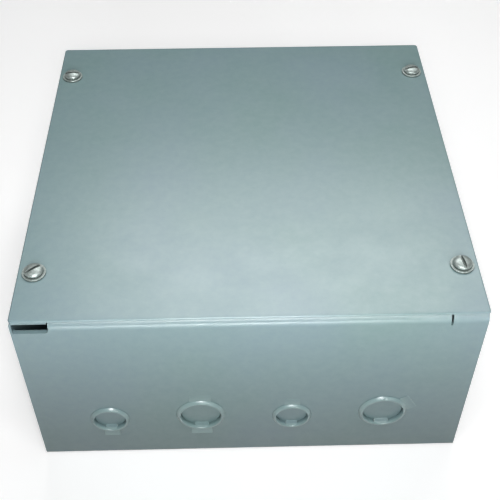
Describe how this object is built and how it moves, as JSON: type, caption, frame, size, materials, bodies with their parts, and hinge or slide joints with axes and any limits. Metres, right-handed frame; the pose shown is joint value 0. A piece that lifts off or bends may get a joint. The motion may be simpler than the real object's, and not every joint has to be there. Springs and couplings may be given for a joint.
{
  "type": "electrical junction box",
  "caption": "Square sheet-steel pull box with a flat cover held by slotted screws at its corners, and concentric conduit knockouts low in its walls.",
  "frame": {"origin": "centre of the back face, which lies against the wall or bench", "axes": "+Z out through the cover, -Y out through the front wall, +X to the right of it"},
  "size_m": [0.3092, 0.3092, 0.1591],
  "materials": {
    "grey_paint": "semi-gloss",
    "zinc_plated_steel": "bright zinc",
    "green_ground_screw": "dyed zinc"
  },
  "bodies": {
    "box": {"body_wrapper": "grey_paint", "left_side_panel": "grey_paint", "right_side_panel": "grey_paint", "front_knockout_1_ring": "grey_paint", "front_knockout_1_slug": "grey_paint", "front_knockout_2_ring": "grey_paint", "front_knockout_2_slug": "grey_paint", "front_knockout_3_ring": "grey_paint", "front_knockout_3_slug": "grey_paint", "front_knockout_4_ring": "grey_paint", "front_knockout_4_slug": "grey_paint", "right_knockout_1_ring": "grey_paint", "right_knockout_1_slug": "grey_paint", "right_knockout_2_ring": "grey_paint", "right_knockout_2_slug": "grey_paint", "right_knockout_3_ring": "grey_paint", "right_knockout_3_slug": "grey_paint", "right_knockout_4_ring": "grey_paint", "right_knockout_4_slug": "grey_paint", "rear_knockout_1_ring": "grey_paint", "rear_knockout_1_slug": "grey_paint", "rear_knockout_2_ring": "grey_paint", "rear_knockout_2_slug": "grey_paint", "rear_knockout_3_ring": "grey_paint", "rear_knockout_3_slug": "grey_paint", "rear_knockout_4_ring": "grey_paint", "rear_knockout_4_slug": "grey_paint", "left_knockout_1_ring": "grey_paint", "left_knockout_1_slug": "grey_paint", "left_knockout_2_ring": "grey_paint", "left_knockout_2_slug": "grey_paint", "left_knockout_3_ring": "grey_paint", "left_knockout_3_slug": "grey_paint", "left_knockout_4_ring": "grey_paint", "left_knockout_4_slug": "grey_paint"},
    "cover": {"cover": "grey_paint"},
    "cover_washer_front_left": {"cover_washer_front_left": "zinc_plated_steel"},
    "cover_screw_front_left": {"cover_screw_front_left": "zinc_plated_steel"},
    "cover_washer_front_right": {"cover_washer_front_right": "zinc_plated_steel"},
    "cover_screw_front_right": {"cover_screw_front_right": "zinc_plated_steel"},
    "cover_washer_rear_left": {"cover_washer_rear_left": "zinc_plated_steel"},
    "cover_screw_rear_left": {"cover_screw_rear_left": "zinc_plated_steel"},
    "cover_washer_rear_right": {"cover_washer_rear_right": "zinc_plated_steel"},
    "cover_screw_rear_right": {"cover_screw_rear_right": "zinc_plated_steel"},
    "ground_star_washer": {"ground_star_washer": "zinc_plated_steel"},
    "ground_screw": {"ground_screw": "green_ground_screw"}
  },
  "joints": [
    {"name": "cover_lift_off", "type": "slide", "parent": "box", "child": "cover", "axis": [0, 0, 1], "range_m": [0, 0.12]},
    {"name": "cover_screw_front_left_back_out", "type": "slide", "parent": "cover", "child": "cover_washer_front_left", "axis": [0, 0, 1], "range_m": [0, 0.0127]},
    {"name": "cover_screw_front_left_turn", "type": "hinge", "parent": "cover_washer_front_left", "child": "cover_screw_front_left", "pos_m": [-0.1413, -0.1111, 0.1552], "axis": [0, 0, 1], "range_deg": [0, 3601]},
    {"name": "cover_screw_front_right_back_out", "type": "slide", "parent": "cover", "child": "cover_washer_front_right", "axis": [0, 0, 1], "range_m": [0, 0.0127]},
    {"name": "cover_screw_front_right_turn", "type": "hinge", "parent": "cover_washer_front_right", "child": "cover_screw_front_right", "pos_m": [0.1413, -0.1111, 0.1552], "axis": [0, 0, 1], "range_deg": [0, 3601]},
    {"name": "cover_screw_rear_left_back_out", "type": "slide", "parent": "cover", "child": "cover_washer_rear_left", "axis": [0, 0, 1], "range_m": [0, 0.0127]},
    {"name": "cover_screw_rear_left_turn", "type": "hinge", "parent": "cover_washer_rear_left", "child": "cover_screw_rear_left", "pos_m": [-0.1413, 0.1111, 0.1552], "axis": [0, 0, 1], "range_deg": [0, 3601]},
    {"name": "cover_screw_rear_right_back_out", "type": "slide", "parent": "cover", "child": "cover_washer_rear_right", "axis": [0, 0, 1], "range_m": [0, 0.0127]},
    {"name": "cover_screw_rear_right_turn", "type": "hinge", "parent": "cover_washer_rear_right", "child": "cover_screw_rear_right", "pos_m": [0.1413, 0.1111, 0.1552], "axis": [0, 0, 1], "range_deg": [0, 3601]},
    {"name": "ground_screw_back_out", "type": "slide", "parent": "box", "child": "ground_star_washer", "axis": [0, 0, 1], "range_m": [0, 0.00635]},
    {"name": "ground_screw_turn", "type": "hinge", "parent": "ground_star_washer", "child": "ground_screw", "pos_m": [-0.095, 0.095, 0.0071], "axis": [0, 0, 1], "range_deg": [0, 2881]}
  ],
  "couplings": [
    {"joint": "cover_screw_front_left_turn", "follows": "cover_screw_front_left_back_out", "rad_per_m": 4947.4},
    {"joint": "cover_screw_front_right_turn", "follows": "cover_screw_front_right_back_out", "rad_per_m": 4947.4},
    {"joint": "cover_screw_rear_left_turn", "follows": "cover_screw_rear_left_back_out", "rad_per_m": 4947.4},
    {"joint": "cover_screw_rear_right_turn", "follows": "cover_screw_rear_right_back_out", "rad_per_m": 4947.4},
    {"joint": "ground_screw_turn", "follows": "ground_screw_back_out", "rad_per_m": 7915.8}
  ]
}
